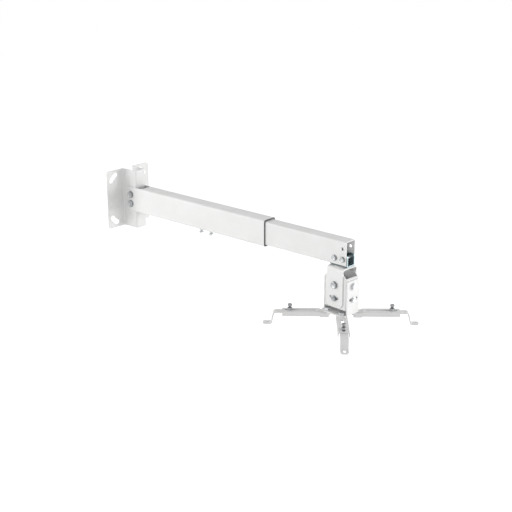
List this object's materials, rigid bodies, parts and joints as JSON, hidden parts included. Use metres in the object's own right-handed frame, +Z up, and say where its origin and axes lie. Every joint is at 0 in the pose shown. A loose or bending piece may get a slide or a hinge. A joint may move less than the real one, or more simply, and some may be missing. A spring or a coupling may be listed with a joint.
{
  "type": "projector wall mount",
  "caption": "Wall mount for a projector: a telescopic steel arm on a folded wall plate, with a swivelling, tilting head and slotted arms whose cranked feet slide to fit the projector.",
  "frame": {"origin": "on the wall plane, at the middle of the wall plate, on the axis of the telescopic arm", "axes": "+X out from the wall along the arm, +Y across, +Z up"},
  "size_m": [0.7723, 0.2556, 0.2291],
  "materials": {
    "white_coat": "satin powder coat",
    "zinc_plate": "zinc plated",
    "bolt_steel": "zinc plated",
    "black_steel": "black oxide",
    "black_plastic": "plain",
    "nylon": "plain"
  },
  "bodies": {
    "arm_root": {"wall_plate": "white_coat", "outer_tube": "white_coat", "root_bolts": "bolt_steel", "root_nuts": "bolt_steel", "lock_screws": "bolt_steel", "lock_nuts": "bolt_steel", "mouth_collar": "black_plastic"},
    "slider": {"inner_tube": "white_coat", "hanger": "zinc_plate", "hanger_bolts": "bolt_steel", "hanger_nuts": "bolt_steel"},
    "yoke": {"top_yoke": "white_coat", "swivel_bolt": "bolt_steel", "friction_washer": "nylon", "swivel_washer": "bolt_steel", "swivel_nut": "bolt_steel"},
    "joint_box": {"tilt_box": "white_coat", "tilt_pivot_bolts": "bolt_steel", "tilt_pivot_nuts": "bolt_steel", "tilt_lock_bolts": "bolt_steel", "tilt_lock_nuts": "bolt_steel", "roll_pivot_bolts": "bolt_steel", "roll_pivot_nuts": "bolt_steel", "roll_lock_bolts": "bolt_steel", "roll_lock_nuts": "bolt_steel"},
    "lower_bracket": {"base_bracket": "white_coat", "arm_bolts": "bolt_steel", "arm_nuts": "bolt_steel"},
    "spider_arm_1": {"arm_1": "white_coat"},
    "foot_slider_1": {"foot_1": "white_coat", "clamp_screw_1": "black_steel", "clamp_lock_nut_1": "bolt_steel", "clamp_square_nut_1": "bolt_steel"},
    "spider_arm_2": {"arm_2": "white_coat"},
    "foot_slider_2": {"foot_2": "white_coat", "clamp_screw_2": "black_steel", "clamp_lock_nut_2": "bolt_steel", "clamp_square_nut_2": "bolt_steel"},
    "spider_arm_3": {"arm_3": "white_coat"},
    "foot_slider_3": {"foot_3": "white_coat", "clamp_screw_3": "black_steel", "clamp_lock_nut_3": "bolt_steel", "clamp_square_nut_3": "bolt_steel"},
    "spider_arm_4": {"arm_4": "white_coat"},
    "foot_slider_4": {"foot_4": "white_coat", "clamp_screw_4": "black_steel", "clamp_lock_nut_4": "bolt_steel", "clamp_square_nut_4": "bolt_steel"}
  },
  "joints": [
    {"name": "arm_slide", "type": "slide", "parent": "arm_root", "child": "slider", "axis": [1, 0, 0], "range_m": [-0.168, 0.01]},
    {"name": "head_swivel", "type": "hinge", "parent": "slider", "child": "yoke", "pos_m": [0.6445, 0, -0.0305], "axis": [0, 0, 1], "continuous": true},
    {"name": "head_pitch", "type": "hinge", "parent": "yoke", "child": "joint_box", "pos_m": [0.6445, 0, -0.0682], "axis": [0.0872, 0.9962, 0], "range_deg": [-12, 12]},
    {"name": "head_roll", "type": "hinge", "parent": "joint_box", "child": "lower_bracket", "pos_m": [0.6445, 0, -0.0682], "axis": [0.9962, -0.0872, 0], "range_deg": [-15, 15]},
    {"name": "arm_swing_1", "type": "hinge", "parent": "lower_bracket", "child": "spider_arm_1", "pos_m": [0.66682, 0.01873, -0.1313], "axis": [0, 0, 1], "range_deg": [-40, 40]},
    {"name": "foot_slide_1", "type": "slide", "parent": "spider_arm_1", "child": "foot_slider_1", "axis": [0.766, 0.6428, 0], "range_m": [-0.044, 0.007]},
    {"name": "arm_swing_2", "type": "hinge", "parent": "lower_bracket", "child": "spider_arm_2", "pos_m": [0.62577, 0.02232, -0.1313], "axis": [0, 0, 1], "range_deg": [-40, 40]},
    {"name": "foot_slide_2", "type": "slide", "parent": "spider_arm_2", "child": "foot_slider_2", "axis": [-0.6428, 0.766, 0], "range_m": [-0.044, 0.007]},
    {"name": "arm_swing_3", "type": "hinge", "parent": "lower_bracket", "child": "spider_arm_3", "pos_m": [0.62218, -0.01873, -0.1313], "axis": [0, 0, 1], "range_deg": [-40, 40]},
    {"name": "foot_slide_3", "type": "slide", "parent": "spider_arm_3", "child": "foot_slider_3", "axis": [-0.766, -0.6428, 0], "range_m": [-0.044, 0.007]},
    {"name": "arm_swing_4", "type": "hinge", "parent": "lower_bracket", "child": "spider_arm_4", "pos_m": [0.66323, -0.02232, -0.1313], "axis": [0, 0, 1], "range_deg": [-40, 40]},
    {"name": "foot_slide_4", "type": "slide", "parent": "spider_arm_4", "child": "foot_slider_4", "axis": [0.6428, -0.766, 0], "range_m": [-0.044, 0.007]}
  ]
}
